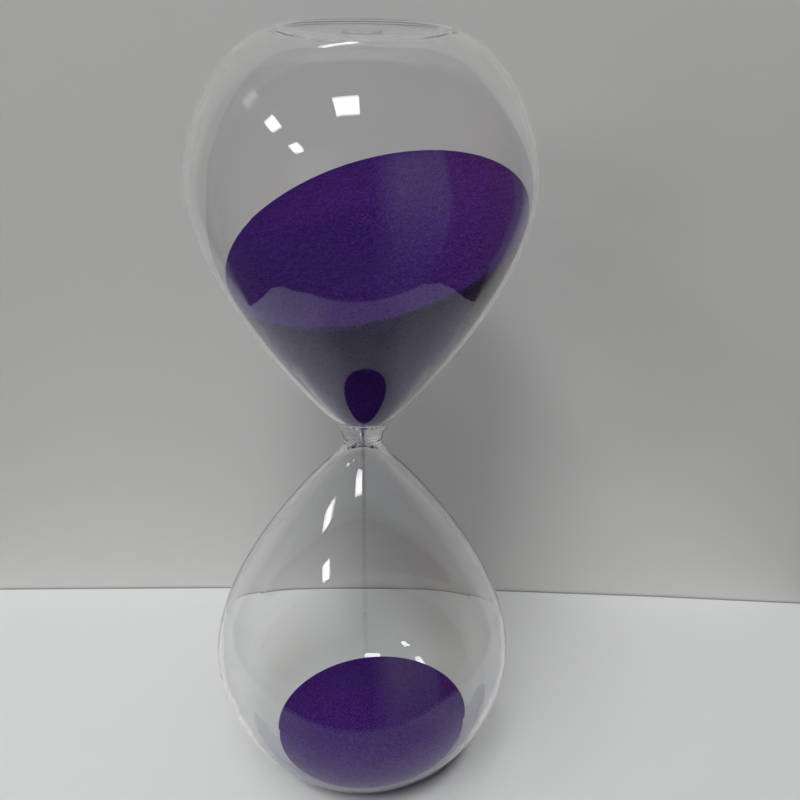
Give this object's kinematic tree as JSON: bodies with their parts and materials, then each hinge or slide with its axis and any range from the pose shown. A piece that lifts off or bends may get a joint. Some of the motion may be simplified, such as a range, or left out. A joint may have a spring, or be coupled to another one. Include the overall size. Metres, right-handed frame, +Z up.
{
  "type": "hourglass",
  "caption": "Free-standing blown-glass sand timer: drop-shaped bulbs fused at a thick fine-bored waist, flat ring feet at both ends, sand charge, falling thread and heap inside.",
  "frame": {"origin": "centre of the ring that the hourglass stands on, in the plane of the table", "axes": "+Z up the axis of the glass; the upper sand rises towards the corner between +X and +Y"},
  "size_m": [0.1024, 0.1024, 0.25],
  "materials": {
    "clear_glass": "clear, fire-polished",
    "violet_sand": "fine dyed grains, matt with a few sparkles"
  },
  "bodies": {
    "root": {"upper_bulb": "clear_glass", "lower_bulb": "clear_glass", "throat": "clear_glass", "end_seal": "clear_glass", "upper_sand": "violet_sand", "sand_stream": "violet_sand", "lower_sand": "violet_sand"}
  },
  "joints": []
}
